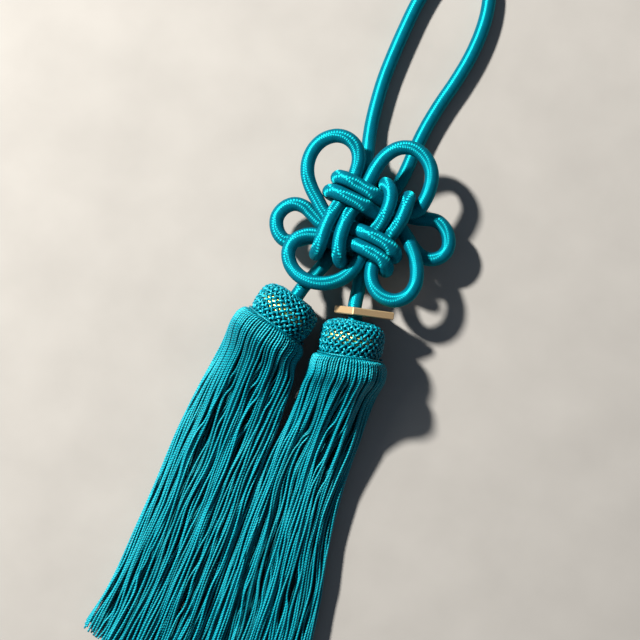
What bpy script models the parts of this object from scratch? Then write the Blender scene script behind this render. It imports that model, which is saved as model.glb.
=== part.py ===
"""Twin tassel hung on a good-luck knot of round satin cord, lying on its back on a flat surface.

The hanging loop points along +Y, the two tassels along -Y, and everything rests on z = 0.
Lengths in the tables are in millimetres; objects are in metres.
"""

import math

import bmesh
import bpy
import numpy as np
from mathutils import Matrix

MM = 0.001

# Cord: cotton core with satin thread wound tightly round it.
CORD_RADIUS = 2.8
CORD_CLEARANCE = 0.6
LAYER = 2 * CORD_RADIUS + CORD_CLEARANCE
FACE_GAP = 0.8

# Head: a drum-shaped mould, lying with its axis level at this height.
AXIS_HEIGHT = 15.2
HEAD_RADIUS = 14.3
HEAD_HALF_LENGTH = 8.1
HEAD_SIDES = 28

# Skirt: locks of yarn rooted in a neck plug just under the head.
LOCKS_ROUND = 38
LOCK_LAYERS = 3
LOCK_MOST_WIDE = 1.9
LOCK_SPACE = 0.3
NECK_GAP = 0.3
TRIM_UNEVEN = 1.6

# Square brass plate that the right drop cord passes through.
PLATE_SIDE = 19.6
PLATE_THICK = 3.2
PLATE_HOLE_RADIUS = 4.1
PLATE_BEVEL = 0.4

# The object's origin, under the middle of everything but the hanging loop.
ORIGIN_EAST = -5.2
ORIGIN_NORTH = -84.45

# ---------------------------------------------------------------- the cord's route
# Each row is (east, north, layer): layer 0 lies on the surface and layer 3 is the front of
# the knot. The cord runs from the left tassel, through the knot, round the hanging loop and
# back through the knot to the right tassel.
LEFT_DROP = [(-15.25, -37.7, 1.96), (-14.7, -35.6, 1.79), (-13.2, -31.8, 1.37), (-11.3, -27.3, 0.75),
             (-9.7, -23.0, 0.4), (-8.4, -19.0, 0.1)]
B1_BACK = [(-6.7, -14.0, 0), (-5.0, -8.0, 0), (-3.2, 0.0, 0.05), (-1.4, 7.0, 0), (-0.3, 12.0, 0)]
B1_FOLD = [(0.7, 14.8, 0.15), (1.5, 17.0, 0.7), (2.5, 18.1, 1.6), (4.1, 17.5, 2.5)]
B1_FRONT = [(6.2, 15.2, 2.95), (7.4, 11.4, 3), (7.6, 6.4, 3), (6.9, 1.0, 2.5), (5.6, -4.3, 2),
            (4.5, -10.6, 2)]
SW_EAR = [(3.7, -16.5, 2.05), (2.3, -21.6, 2.15), (-0.8, -26.6, 2.4), (-6.0, -30.4, 2.65),
          (-12.0, -32.0, 2.75), (-18.0, -31.3, 2.6), (-23.0, -28.0, 2.4), (-25.6, -23.0, 2.4),
          (-24.8, -18.0, 2.3), (-21.5, -14.4, 2.15), (-17.6, -12.6, 2.03)]
C2_FRONT = [(-13.5, -12.1, 2), (-6.3, -11.2, 2), (-1.5, -10.5, 2.35), (4.6, -11.0, 2.95),
            (9.5, -11.6, 3), (12.5, -12.3, 3)]
C2_FOLD = [(15.2, -13.8, 2.75), (16.3, -15.8, 1.9), (16.0, -16.2, 1.1), (14.8, -15.2, 0.35)]
C2_BACK = [(12.3, -13.6, 0), (6.0, -12.8, 0.2), (0.0, -12.3, 0.95), (-6.2, -12.2, 1), (-12.8, -12.2, 1)]
LEFT_EAR = [(-17.0, -12.8, 1), (-21.0, -14.8, 1), (-25.0, -17.6, 1.1), (-29.0, -18.8, 1.2),
            (-33.2, -16.2, 1.2), (-35.4, -11.0, 1.2), (-34.0, -6.0, 1.2), (-30.5, -2.8, 1.2),
            (-26.0, -2.4, 1.15), (-21.5, -4.2, 1.05), (-17.0, -6.2, 1)]
C1_BACK = [(-12.6, -6.1, 1), (-5.0, -5.6, 1), (1.2, -5.3, 0.95), (6.0, -5.5, 0.25), (11.8, -6.0, 0)]
C1_FOLD = [(14.8, -7.0, 0.3), (16.8, -8.3, 1.1), (17.1, -8.2, 1.9), (15.9, -6.8, 2.75)]
C1_FRONT = [(12.8, -5.2, 3), (8.0, -4.0, 3), (4.0, -3.6, 2.95), (-1.0, -3.6, 2.4), (-6.5, -4.1, 2),
            (-13.5, -3.4, 2)]
NW_EAR = [(-17.2, -1.4, 2.02), (-21.0, 1.8, 2.05), (-25.5, 5.8, 2.1), (-29.0, 10.5, 2.2),
          (-30.7, 16.0, 2.25), (-30.2, 22.0, 2.3), (-27.5, 27.0, 2.35), (-23.0, 30.2, 2.4),
          (-18.0, 30.6, 2.4), (-13.5, 28.3, 2.3), (-11.0, 24.0, 2.2), (-10.4, 19.5, 2.08)]
D1_FRONT = [(-10.5, 14.4, 2), (-11.5, 6.8, 2), (-12.8, 1.3, 2.5), (-13.8, -3.6, 2.98), (-14.2, -9.0, 3),
            (-14.1, -13.8, 3)]
D1_FOLD = [(-14.1, -17.8, 2.7), (-14.3, -20.0, 1.5), (-14.3, -18.0, 0.35)]
D1_BACK = [(-13.8, -13.0, 0), (-13.1, -6.0, 0), (-12.5, 0.0, 0.5), (-11.9, 6.0, 1)]
LOOP_LEFT = [(-10.6, 12.0, 1), (-8.6, 17.5, 1), (-7.9, 22.5, 0.9), (-8.2, 28.5, 0.5), (-9.6, 35.0, 0.15),
             (-10.9, 42.0, 0), (-11.9, 51.0, 0), (-12.5, 62.0, 0), (-12.2, 73.6, 0), (-11.4, 85.5, 0),
             (-10.2, 97.4, 0), (-8.0, 108.0, 0), (-3.4, 119.0, 0)]
LOOP_RIGHT = [(4.6, 126.0, 0), (12.6, 121.8, 0), (17.2, 115.2, 0), (19.6, 107.0, 0), (20.5, 97.0, 0),
              (19.8, 85.1, 0), (17.5, 72.6, 0), (14.2, 59.7, 0), (11.9, 48.0, 0), (10.8, 38.0, 0),
              (10.3, 30.0, 0), (9.6, 24.0, 0), (8.3, 18.5, 0), (6.9, 12.5, 0)]
D2_BACK = [(5.4, 8.0, 0), (3.2, 0.0, 0.05), (1.2, -8.0, 0), (0.0, -12.5, 0)]
D2_FOLD = [(-0.6, -15.6, 0.15), (-1.2, -18.3, 0.7), (-2.0, -19.7, 1.6), (-3.2, -19.2, 2.5)]
D2_FRONT = [(-4.7, -16.4, 2.95), (-5.9, -12.5, 3), (-6.5, -8.5, 3), (-6.6, -4.0, 3), (-6.3, 1.2, 2.5),
            (-5.2, 6.4, 2), (-4.1, 13.0, 2)]
NE_EAR = [(-3.4, 18.6, 2.05), (-2.4, 24.0, 2.2), (-0.3, 29.5, 2.3), (3.5, 34.0, 2.4), (8.5, 36.0, 2.4),
          (13.5, 35.3, 2.4), (18.0, 32.3, 2.4), (21.0, 27.5, 2.4), (21.9, 22.0, 2.3), (21.6, 16.6, 2.2),
          (20.4, 12.0, 2.1)]
A1_FRONT = [(17.2, 9.1, 2.02), (13.0, 8.6, 2), (8.5, 9.0, 2), (4.0, 9.9, 2.4), (-0.5, 11.1, 2.95),
            (-5.5, 12.3, 3), (-11.5, 13.5, 3)]
A1_FOLD = [(-14.2, 13.7, 2.7), (-15.6, 13.6, 1.5), (-14.2, 13.3, 0.4)]
A1_BACK = [(-11.0, 12.9, 0), (-6.0, 12.3, 0.25), (-0.3, 11.6, 0.95), (7.0, 10.4, 1), (13.8, 8.6, 1)]
RIGHT_EAR = [(18.0, 8.7, 1), (22.0, 9.2, 1.1), (26.0, 10.4, 1.2), (30.0, 11.0, 1.25), (34.2, 9.2, 1.25),
             (37.3, 5.5, 1.25), (38.3, 1.0, 1.2), (36.6, -3.0, 1.2), (32.6, -5.5, 1.2), (28.0, -5.2, 1.1),
             (24.0, -2.9, 1), (20.0, 0.2, 1)]
A2_BACK = [(16.5, 2.0, 1), (13.2, 2.6, 1), (7.0, 3.7, 1), (-1.2, 5.0, 0.95), (-6.0, 5.6, 0.3),
           (-12.0, 6.1, 0)]
A2_FOLD = [(-15.0, 6.2, 0.35), (-16.5, 6.3, 1.5), (-15.2, 6.4, 2.7)]
A2_FRONT = [(-12.4, 6.2, 3), (-6.0, 5.5, 3), (-1.0, 4.9, 2.85), (2.5, 4.5, 2.4), (7.0, 4.2, 2),
            (13.5, 3.4, 2)]
SE_EAR = [(17.8, 0.9, 2.05), (22.0, -2.9, 2.2), (25.8, -7.3, 2.3), (28.7, -12.5, 2.4), (30.0, -18.0, 2.4),
          (28.7, -23.5, 2.4), (24.5, -27.3, 2.4), (19.5, -27.9, 2.4), (14.5, -25.8, 2.35),
          (11.2, -21.8, 2.2), (9.9, -17.2, 2.05)]
B2_FRONT = [(9.9, -11.8, 2), (11.1, -4.8, 2), (13.2, 0.1, 2.5), (14.6, 4.8, 3), (14.9, 9.4, 3)]
B2_FOLD = [(14.8, 12.4, 2.7), (14.6, 14.0, 1.5), (14.3, 12.4, 0.35)]
B2_BACK = [(14.0, 9.4, 0), (13.4, 3.6, 0), (12.6, -1.2, 0.5), (11.9, -6.0, 1), (10.6, -12.2, 1)]
RIGHT_DROP = [(8.6, -17.5, 1), (7.5, -22.0, 1), (8.0, -27.5, 1.15), (8.6, -32.5, 1.52), (9.4, -37.0, 1.86),
              (10.7, -39.5, 1.98)]

LEFT_HALF = (LEFT_DROP + B1_BACK + B1_FOLD + B1_FRONT + SW_EAR + C2_FRONT + C2_FOLD + C2_BACK + LEFT_EAR
             + C1_BACK + C1_FOLD + C1_FRONT + NW_EAR + D1_FRONT + D1_FOLD + D1_BACK)
RIGHT_HALF = (D2_BACK + D2_FOLD + D2_FRONT + NE_EAR + A1_FRONT + A1_FOLD + A1_BACK + RIGHT_EAR + A2_BACK
              + A2_FOLD + A2_FRONT + SE_EAR + B2_FRONT + B2_FOLD + B2_BACK + RIGHT_DROP)
HANGING_LOOP = LOOP_LEFT + LOOP_RIGHT


def smooth_route(rows, step):
    """Points every `step` along a centripetal Catmull-Rom spline through the rows, and the length at
    each row."""
    points = np.array(rows, float)
    points[:, 2] = CORD_RADIUS + points[:, 2] * LAYER
    ends = np.vstack([2 * points[0] - points[1], points, 2 * points[-1] - points[-2]])
    t = np.concatenate([[0], np.cumsum(np.linalg.norm(np.diff(ends, axis=0), axis=1) ** 0.5)])
    fine, marks = [], []
    for i in range(1, len(ends) - 2):
        u = np.linspace(t[i], t[i + 1], 24, endpoint=False)[:, None]
        a1 = (t[i] - u) / (t[i] - t[i - 1]) * ends[i - 1] + (u - t[i - 1]) / (t[i] - t[i - 1]) * ends[i]
        a2 = (t[i + 1] - u) / (t[i + 1] - t[i]) * ends[i] + (u - t[i]) / (t[i + 1] - t[i]) * ends[i + 1]
        a3 = ((t[i + 2] - u) / (t[i + 2] - t[i + 1]) * ends[i + 1]
              + (u - t[i + 1]) / (t[i + 2] - t[i + 1]) * ends[i + 2])
        b1 = (t[i + 1] - u) / (t[i + 1] - t[i - 1]) * a1 + (u - t[i - 1]) / (t[i + 1] - t[i - 1]) * a2
        b2 = (t[i + 2] - u) / (t[i + 2] - t[i]) * a2 + (u - t[i]) / (t[i + 2] - t[i]) * a3
        marks.append(24 * (i - 1))
        fine.append((t[i + 1] - u) / (t[i + 1] - t[i]) * b1 + (u - t[i]) / (t[i + 1] - t[i]) * b2)
    marks.append(24 * len(fine))
    fine = np.vstack([*fine, points[-1:]])
    along = np.concatenate([[0], np.cumsum(np.linalg.norm(np.diff(fine, axis=0), axis=1))])
    even = np.linspace(0, along[-1], int(along[-1] / step) + 1)
    return np.stack([np.interp(even, along, fine[:, k]) for k in range(3)], axis=1), along[marks]


def settle(route, apart, rounds=160, exempt=7):
    """The route with its strands pushed aside until none lies nearer than `apart` to another.

    Each round moves every two points that are too near, and that aren't close neighbours along
    the cord, away from each other. The moves are smoothed along the cord, so it keeps its curves,
    and both ends and the surface under the cord stay where they are.
    """
    moved = np.zeros_like(route)
    order = np.arange(len(route))
    neighbours = np.abs(order[:, None] - order[None]) < exempt
    free = np.clip(np.minimum(order, order[::-1]) / 8.0 - 0.5, 0, 1)[:, None]
    for i in range(rounds):
        at = route + moved
        between = at[:, None] - at[None]
        distance = np.sqrt((between ** 2).sum(axis=2)) + 1e-9
        short = np.where(neighbours, 0, np.clip(apart - distance, 0, None))
        push = (short / distance)[:, :, None] * between
        moved += 0.5 * push.sum(axis=1) / np.maximum(1, (short > 0).sum(axis=1) / 2.0)[:, None]
        if i < rounds - 25:
            moved[1:-1] += 0.30 * (moved[:-2] + moved[2:] - 2 * moved[1:-1])
        moved *= free
        moved[:, 2] = np.maximum(moved[:, 2], CORD_RADIUS - route[:, 2])
    return route + moved


def thinned(points, longest, sharpest):
    """The points kept for a faceted tube: a new one after `longest` of run, or `sharpest` degrees of bend."""
    steps = np.diff(points, axis=0)
    lengths = np.linalg.norm(steps, axis=1)
    units = steps / lengths[:, None]
    bends = np.degrees(np.arccos(np.clip((units[1:] * units[:-1]).sum(axis=1), -1, 1)))
    spent = lengths / longest + 0.5 * (np.append(bends, 0) + np.append(0, bends)) / sharpest
    spent = np.concatenate([[0], np.cumsum(spent)])
    even = np.linspace(0, spent[-1], int(math.ceil(spent[-1])) + 1)
    return np.stack([np.interp(even, spent, points[:, k]) for k in range(3)], axis=1)


def finish(obj, colour, roughness, metallic=0.0):
    """Links the object and gives it a material of its own."""
    material = bpy.data.materials.new(obj.name)
    material.use_nodes = True
    shader = material.node_tree.nodes["Principled BSDF"]
    shader.inputs["Base Color"].default_value = (*colour, 1)
    shader.inputs["Roughness"].default_value = roughness
    shader.inputs["Metallic"].default_value = metallic
    obj.data.materials.append(material)
    bpy.context.scene.collection.objects.link(obj)
    return obj


def cord_piece(name, points):
    """A round cord through the points, closed with flat ends."""
    curve = bpy.data.curves.new(name, "CURVE")
    curve.dimensions = "3D"
    curve.bevel_depth = CORD_RADIUS * MM
    curve.bevel_resolution = 2
    curve.use_fill_caps = True
    spline = curve.splines.new("POLY")
    spline.points.add(len(points) - 1)
    for point, at in zip(spline.points, points):
        point.co = (*(at * MM), 1)
        point.radius = 1
    return finish(bpy.data.objects.new(name, curve), SATIN_TEAL, 0.4)


def stretch(points, along, start, end):
    """The part of the route between two lengths, with its exact ends."""
    inside = points[(along > start + 0.5) & (along < end - 0.5)]
    ends = [np.array([np.interp(s, along, points[:, k]) for k in range(3)]) for s in (start, end)]
    return np.vstack([ends[0], inside, ends[1]])


def tassel_frame(head_east, head_north, lean):
    """The frame of a tassel: its origin at the middle of the head, +Z up its axis towards the knot."""
    across = (math.cos(lean), -math.sin(lean), 0)
    down = (0, 0, -1)
    up_axis = (math.sin(lean), math.cos(lean), 0)
    frame = np.eye(4)
    frame[:3, 0], frame[:3, 1], frame[:3, 2] = across, down, up_axis
    frame[:3, 3] = np.array([head_east, head_north, AXIS_HEIGHT])
    return frame


def head(name, frame):
    """The drum-shaped mould, turned about its axis, flat where the cord enters and flat under the neck."""
    top_flat, bottom_flat = 3.6, 11.0
    top_turn = np.radians(np.linspace(90, 0, 7))[1:]
    bottom_turn = np.radians(np.linspace(0, -90, 6))[1:-1]
    blunt = 0.72
    profile = [(0, HEAD_HALF_LENGTH), (top_flat, HEAD_HALF_LENGTH)]
    profile += [(top_flat + (HEAD_RADIUS - top_flat) * math.cos(a) ** blunt,
                 HEAD_HALF_LENGTH * math.sin(a) ** blunt) for a in top_turn[:-1]]
    profile += [(HEAD_RADIUS, 0)]
    profile += [(bottom_flat + (HEAD_RADIUS - bottom_flat) * math.cos(a) ** blunt,
                 -HEAD_HALF_LENGTH * (-math.sin(a)) ** blunt) for a in bottom_turn]
    profile += [(bottom_flat, -HEAD_HALF_LENGTH), (0, -HEAD_HALF_LENGTH)]
    mesh = bmesh.new()
    rings = [mesh.verts.new((r * MM, 0, t * MM)) for r, t in profile]
    edges = [mesh.edges.new(pair) for pair in zip(rings[:-1], rings[1:])]
    bmesh.ops.spin(mesh, geom=rings + edges, cent=(0, 0, 0), axis=(0, 0, 1), angle=2 * math.pi,
                   steps=HEAD_SIDES, use_merge=True)
    bmesh.ops.remove_doubles(mesh, verts=mesh.verts, dist=0.00005)
    bmesh.ops.recalc_face_normals(mesh, faces=mesh.faces)
    data = bpy.data.meshes.new(name)
    mesh.to_mesh(data)
    mesh.free()
    data.shade_smooth()
    obj = finish(bpy.data.objects.new(name, data), NET_TEAL, 0.6)
    place = frame.copy()
    place[:3, 3] *= MM
    obj.matrix_world = Matrix(place)
    return obj


# ---------------------------------------------------------------- skirts
# Neck plug: edges of its bands of roots, as (radius, distance below the head's middle).
NECK_BANDS = [(12.6, HEAD_HALF_LENGTH + NECK_GAP), (12.6, HEAD_HALF_LENGTH + 2.1),
              (11.2, HEAD_HALF_LENGTH + 3.6), (9.0, HEAD_HALF_LENGTH + 4.2)]

# Round stations at the shoulder, as (distance below the head's middle, half width, half height, drop
# for each inner layer, step in for each inner layer, lean of the locks' outer side in degrees).
SHOULDER = [(HEAD_HALF_LENGTH + 1.9, 15.4, 14.1, 1.9, 2.2, 45),
            (HEAD_HALF_LENGTH + 6.5, 16.8, 14.2, 1.2, 2.4, 90)]

# Flat-bottomed stations where the locks lie on the surface, as (north, middle east, half width,
# height, step in for each inner layer, bunching, bunches round the pile).
LEFT_PILE = [(-80.0, -22.9, 18.2, 18.5, 2.5, 0.08, 6), (-135.0, -25.9, 20.9, 12.0, 1.7, 0.14, 7),
             (-206.0, -29.7, 24.4, 10.2, 1.6, 0.18, 6)]
RIGHT_PILE = [(-80.0, 15.0, 16.5, 18.5, 2.5, 0.08, 6), (-135.0, 14.9, 19.2, 12.2, 1.7, 0.14, 5),
              (-206.0, 19.6, 24.3, 10.4, 1.6, 0.2, 7)]
PILE_EDGE = 5.4
END_BOW = 4.0


def ring_outline(half_width, height, inside, corner):
    """An outline this far inside a flat-bottomed pile with a domed top, its corners rounded. It runs
    from the middle of the top to the left."""
    east = np.linspace(-half_width, half_width, 241)
    edge = min(PILE_EDGE, 0.6 * height)
    top = edge + (height - edge) * (1 - np.abs(east / half_width) ** 2.2) ** 0.7
    depth = inside + corner
    away = east[None, :] - east[:, None]
    below = top[None, :] - np.sqrt(np.maximum(0, depth ** 2 - away ** 2))
    inner = np.where(np.abs(away) <= depth, below, 1e9).min(axis=1)
    kept = (np.abs(east) <= half_width - depth) & (inner >= depth)
    core = np.concatenate([np.stack([east[kept], inner[kept]], axis=1),
                           np.stack([east[kept], 0 * east[kept] + depth], axis=1)])
    turn = np.linspace(0.5 * math.pi, 2.5 * math.pi, 181)
    facing = np.stack([np.cos(turn), np.sin(turn)], axis=1)
    return core[(facing @ core.T).argmax(axis=1)] + corner * facing


def along_outline(outline, fractions):
    """Points and unit tangents at fractions of the length round an outline, a quarter being its top."""
    along = np.concatenate([[0], np.cumsum(np.linalg.norm(np.diff(outline, axis=0), axis=1))])

    def at(f):
        return np.stack([np.interp(f % 1 * along[-1], along, outline[:, k]) for k in range(2)], axis=1)

    fractions = fractions - 0.25
    tangents = at(fractions + 0.014) - at(fractions - 0.014)
    return at(fractions), tangents / np.linalg.norm(tangents, axis=1)[:, None], along[-1]


def lock_section(middle, side, outward, wide, thick):
    """Four corners of each lock: outer before and after, then inner after and before."""
    a, b = side * wide / 2, outward * thick / 2
    corners = np.stack([middle + b - a, middle + b + a, middle - b + a, middle - b - a], axis=1)
    lift = np.maximum(0, -corners[:, :, 2].min(axis=1))
    corners[:, :, 2] += lift[:, None]
    return corners


def skirt(name, frame, pile, seed):
    """Locks that leave the neck plug in layers, turn over the shoulder and run out along the surface."""
    uneven = np.random.default_rng(seed)
    cell = (np.arange(LOCKS_ROUND) + 0.5) / LOCKS_ROUND
    turn = 2 * math.pi * np.arange(LOCKS_ROUND) / LOCKS_ROUND
    across, down, up_axis, origin = frame[:3, 0], frame[:3, 1], frame[:3, 2], frame[:3, 3]
    verts = []
    for radius, below in NECK_BANDS:
        verts += list(origin - up_axis * below + radius * (np.cos(turn)[:, None] * across
                                                         - np.sin(turn)[:, None] * down))
    faces = [tuple(range(LOCKS_ROUND)),
             tuple(len(verts) - 1 - i for i in range(LOCKS_ROUND))]
    for layer in range(LOCK_LAYERS):
        shift = 0.5 / LOCKS_ROUND * (layer % 2)
        sections = []
        for number, (below, wide_half, high_half, drop, inset, tilt) in enumerate(SHOULDER):
            spin = 2 * math.pi * (cell + shift * number)[:, None]
            out = np.cos(spin) * across - np.sin(spin) * down
            side = -np.sin(spin) * across - np.cos(spin) * down
            r, h = wide_half - inset * layer, high_half - inset * layer
            middle = origin - up_axis * (below + drop * layer) + r * np.cos(spin) * across \
                - h * np.sin(spin) * down
            outward = math.sin(math.radians(tilt)) * out + math.cos(math.radians(tilt)) * up_axis
            wide = min(LOCK_MOST_WIDE, 2 * math.pi * h / LOCKS_ROUND - LOCK_SPACE)
            sections.append(lock_section(middle, side, outward, wide, min(wide, inset - 0.5)))
        for north, east, half_width, height, step, bunching, bunches in pile:
            thick = step - LOCK_SPACE
            wave = 2 * math.pi * bunches
            fractions = cell + shift
            fractions = fractions + bunching / wave * np.sin(wave * fractions + seed + 2.4 * layer + north)
            flat, tangent, length = along_outline(
                ring_outline(half_width, height, thick / 2 + step * layer, 2.4 - 0.7 * layer), fractions)
            wide = min(LOCK_MOST_WIDE, (1 - bunching) * length / LOCKS_ROUND - LOCK_SPACE)
            bow = (flat[:, 0] / half_width) ** 2
            at_end = north == pile[-1][0]
            reach = north + at_end * (END_BOW * bow + uneven.uniform(-TRIM_UNEVEN, TRIM_UNEVEN, LOCKS_ROUND))
            middle = np.stack([east + flat[:, 0], reach, flat[:, 1]], axis=1)
            side = np.stack([tangent[:, 0], 0 * reach, tangent[:, 1]], axis=1)
            outward = np.stack([tangent[:, 1], 0 * reach, -tangent[:, 0]], axis=1)
            sections.append(lock_section(middle, side, outward, wide, min(thick, wide)))
        sections = np.array(sections)
        first = len(verts)
        verts += list(sections.transpose(1, 0, 2, 3).reshape(-1, 3))
        for i in range(LOCKS_ROUND):
            after = (i + 1) % LOCKS_ROUND
            ring = [layer * LOCKS_ROUND + i, layer * LOCKS_ROUND + after,
                    (layer + 1) * LOCKS_ROUND + after, (layer + 1) * LOCKS_ROUND + i]
            start = first + i * len(sections) * 4
            for station in range(len(sections)):
                following = [start + 4 * station + k for k in range(4)]
                faces += [(ring[k], following[k], following[(k + 1) % 4], ring[(k + 1) % 4])
                          for k in range(4)]
                ring = following
            faces.append(tuple(ring))
    data = bpy.data.meshes.new(name)
    data.from_pydata([tuple(v * MM) for v in verts], [], faces)
    mesh = bmesh.new()
    mesh.from_mesh(data)
    bmesh.ops.recalc_face_normals(mesh, faces=mesh.faces)
    mesh.to_mesh(data)
    mesh.free()
    return finish(bpy.data.objects.new(name, data), YARN_TEAL, 0.55)


def plate(name, middle, tilt, roll, hole_across):
    """A square plate standing on edge across the cord, with its hole off the middle."""
    data = bpy.data.meshes.new(name)
    mesh = bmesh.new()
    bmesh.ops.create_cube(mesh, size=1)
    bmesh.ops.scale(mesh, verts=mesh.verts, vec=(PLATE_SIDE * MM, PLATE_THICK * MM, PLATE_SIDE * MM))
    bmesh.ops.bevel(mesh, geom=mesh.edges, offset=PLATE_BEVEL * MM, segments=1, affect="EDGES")
    bmesh.ops.rotate(mesh, verts=mesh.verts, cent=(0, 0, 0), matrix=Matrix.Rotation(roll, 3, "Y"))
    mesh.to_mesh(data)
    mesh.free()
    obj = finish(bpy.data.objects.new(name, data), BRASS, 0.35, 1.0)
    place = Matrix.Translation([c * MM for c in middle]) @ Matrix.Rotation(tilt, 4, "Z")
    obj.matrix_world = place
    drill = bpy.data.meshes.new(name + "_drill")
    mesh = bmesh.new()
    bmesh.ops.create_cone(mesh, cap_ends=True, segments=24, radius1=PLATE_HOLE_RADIUS * MM,
                          radius2=PLATE_HOLE_RADIUS * MM, depth=3 * PLATE_THICK * MM)
    mesh.to_mesh(drill)
    mesh.free()
    cutter = bpy.data.objects.new(name + "_drill", drill)
    cutter.matrix_world = place @ Matrix.Translation((hole_across[0] * MM, 0, hole_across[1] * MM)) \
        @ Matrix.Rotation(math.pi / 2, 4, "X")
    cutter.hide_render = True
    cutter.display_type = "WIRE"
    bpy.context.scene.collection.objects.link(cutter)
    hole = obj.modifiers.new("hole", "BOOLEAN")
    hole.object = cutter
    hole.solver = "EXACT"
    return obj, cutter


for old in list(bpy.data.objects):
    bpy.data.objects.remove(old)

SATIN_TEAL = (0.002, 0.22, 0.27)
NET_TEAL = (0.003, 0.18, 0.22)
YARN_TEAL = (0.002, 0.2, 0.24)
BRASS = (0.76, 0.58, 0.36)

rows = LEFT_HALF + HANGING_LOOP + RIGHT_HALF
even_route, row_marks = smooth_route(rows, 2.0)
settled = settle(even_route, 2 * CORD_RADIUS + CORD_CLEARANCE)
along = np.linspace(0, row_marks[-1], len(settled))
loop_start, loop_end = row_marks[len(LEFT_HALF)], row_marks[len(LEFT_HALF) + len(HANGING_LOOP) - 1]
made = [
    cord_piece("knot_cord_left", thinned(stretch(settled, along, 0, loop_start - FACE_GAP / 2), 10, 30)),
    cord_piece("hanging_loop", thinned(stretch(settled, along, loop_start + FACE_GAP / 2,
                                               loop_end - FACE_GAP / 2), 14, 25)),
    cord_piece("knot_cord_right", thinned(stretch(settled, along, loop_end + FACE_GAP / 2,
                                                  along[-1]), 10, 30)),
]
for side, place, pile, seed in (("left", (-18.0, -47.4, math.radians(16)), LEFT_PILE, 3),
                                ("right", (12.6, -48.9, math.radians(-11)), RIGHT_PILE, 8)):
    frame = tassel_frame(*place)
    made.append(head("head_" + side, frame))
    made.append(skirt("skirt_" + side, frame, pile, seed))
made += plate("plate", (13.7, -36.7, 12.95), math.radians(12.4), math.radians(23.2), (-4.3, 1.3))

base = bpy.data.objects.new("tassel", None)
bpy.context.scene.collection.objects.link(base)
for obj in made:
    obj.parent = base
base.location = (-ORIGIN_EAST * MM, -ORIGIN_NORTH * MM, 0)
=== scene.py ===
"""A decorative double tassel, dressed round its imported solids.

One satin cord, braided from rayon, is tied in an ornamental knot with a hanging loop. Its two
ends carry netted drum heads with long yarn skirts, and a small brass plate is threaded on the right
one. Lengths are millimetres, east and north of the knot's middle and up from the table, where nothing
else is said.
"""
import math

import bpy
import numpy as np
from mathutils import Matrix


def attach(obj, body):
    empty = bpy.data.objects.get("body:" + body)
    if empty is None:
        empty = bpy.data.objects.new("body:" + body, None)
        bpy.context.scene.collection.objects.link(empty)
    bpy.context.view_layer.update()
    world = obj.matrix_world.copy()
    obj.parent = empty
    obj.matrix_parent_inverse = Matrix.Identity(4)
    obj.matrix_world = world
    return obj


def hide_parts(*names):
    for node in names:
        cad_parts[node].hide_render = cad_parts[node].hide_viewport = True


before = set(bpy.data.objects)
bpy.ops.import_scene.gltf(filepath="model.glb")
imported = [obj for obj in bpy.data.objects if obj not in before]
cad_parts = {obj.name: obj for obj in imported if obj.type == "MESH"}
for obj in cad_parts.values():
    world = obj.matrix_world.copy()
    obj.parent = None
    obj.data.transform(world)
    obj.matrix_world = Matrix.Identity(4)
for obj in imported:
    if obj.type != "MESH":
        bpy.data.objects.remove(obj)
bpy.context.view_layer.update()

# ---------------------------------------------------------------- camera and studio
# The tassel lies on a table and is seen from straight above, turned so that its loop points to the
# upper right. The table is plain and matt, and a small key lamp from the upper left, a weak fill
# lamp and a broad dim sky light it.
MM = 0.001
VIEW_TURN = math.radians(19.885)
VIEW_MIDDLE = (2.22, 38.33, 12.0)
VIEW_WIDTH = 275.2
CAMERA_RISE = 620.0
SENSOR_WIDTH = 36.0
NEAREST_SEEN = 10.0
SKY_STRENGTH = 0.26

# The table in metres, its top just below the tassel so that they don't share a surface.
TABLE_REACH = 9.0
TABLE_DROP = 0.0002
TABLE_MOTTLE = 0.03

camera_data = bpy.data.cameras.new("camera")
camera_data.sensor_width = SENSOR_WIDTH
camera_data.lens = SENSOR_WIDTH * CAMERA_RISE / VIEW_WIDTH
camera_data.clip_start = NEAREST_SEEN * MM
camera = bpy.data.objects.new("camera", camera_data)
camera.location = (VIEW_MIDDLE[0] * MM, VIEW_MIDDLE[1] * MM, (VIEW_MIDDLE[2] + CAMERA_RISE) * MM)
camera.rotation_euler = (0, 0, VIEW_TURN)
bpy.context.scene.collection.objects.link(camera)
bpy.context.scene.camera = camera


def linear(code, alpha=1.0):
    """The linear colour of an sRGB hex code."""
    parts = [int(code[i:i + 2], 16) / 255 for i in (1, 3, 5)]
    return (*[c / 12.92 if c <= 0.04045 else ((c + 0.055) / 1.055) ** 2.4 for c in parts], alpha)


def add_lamp(name, turn, rise, distance, size, power, colour):
    """A round area lamp aimed at the tassel, its distance and size in metres. `turn` is its bearing in
    the view, anticlockwise from the right, and `rise` its height over the table, in degrees."""
    data = bpy.data.lights.new(name, "AREA")
    data.shape = "DISK"
    data.size = size
    data.energy = power
    data.color = linear(colour)[:3]
    lamp = bpy.data.objects.new(name, data)
    bearing = math.radians(turn) + VIEW_TURN
    rise = math.radians(rise)
    lamp.location = (distance * math.cos(rise) * math.cos(bearing),
                     distance * math.cos(rise) * math.sin(bearing), distance * math.sin(rise))
    lamp.rotation_euler = (math.pi / 2 - rise, 0, bearing + math.pi / 2)
    bpy.context.scene.collection.objects.link(lamp)


add_lamp("key_lamp", turn=137, rise=37.5, distance=1.5, size=0.13, power=90, colour="#FFF8EE")
add_lamp("fill_lamp", turn=190, rise=25, distance=1.6, size=1.0, power=6, colour="#F4F2EE")
sky = bpy.data.worlds.new("studio")
sky.use_nodes = True
sky.node_tree.nodes["Background"].inputs["Color"].default_value = linear("#C2D1E4")
sky.node_tree.nodes["Background"].inputs["Strength"].default_value = SKY_STRENGTH
bpy.context.scene.world = sky
bpy.context.scene.view_settings.view_transform = "Standard"

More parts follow.
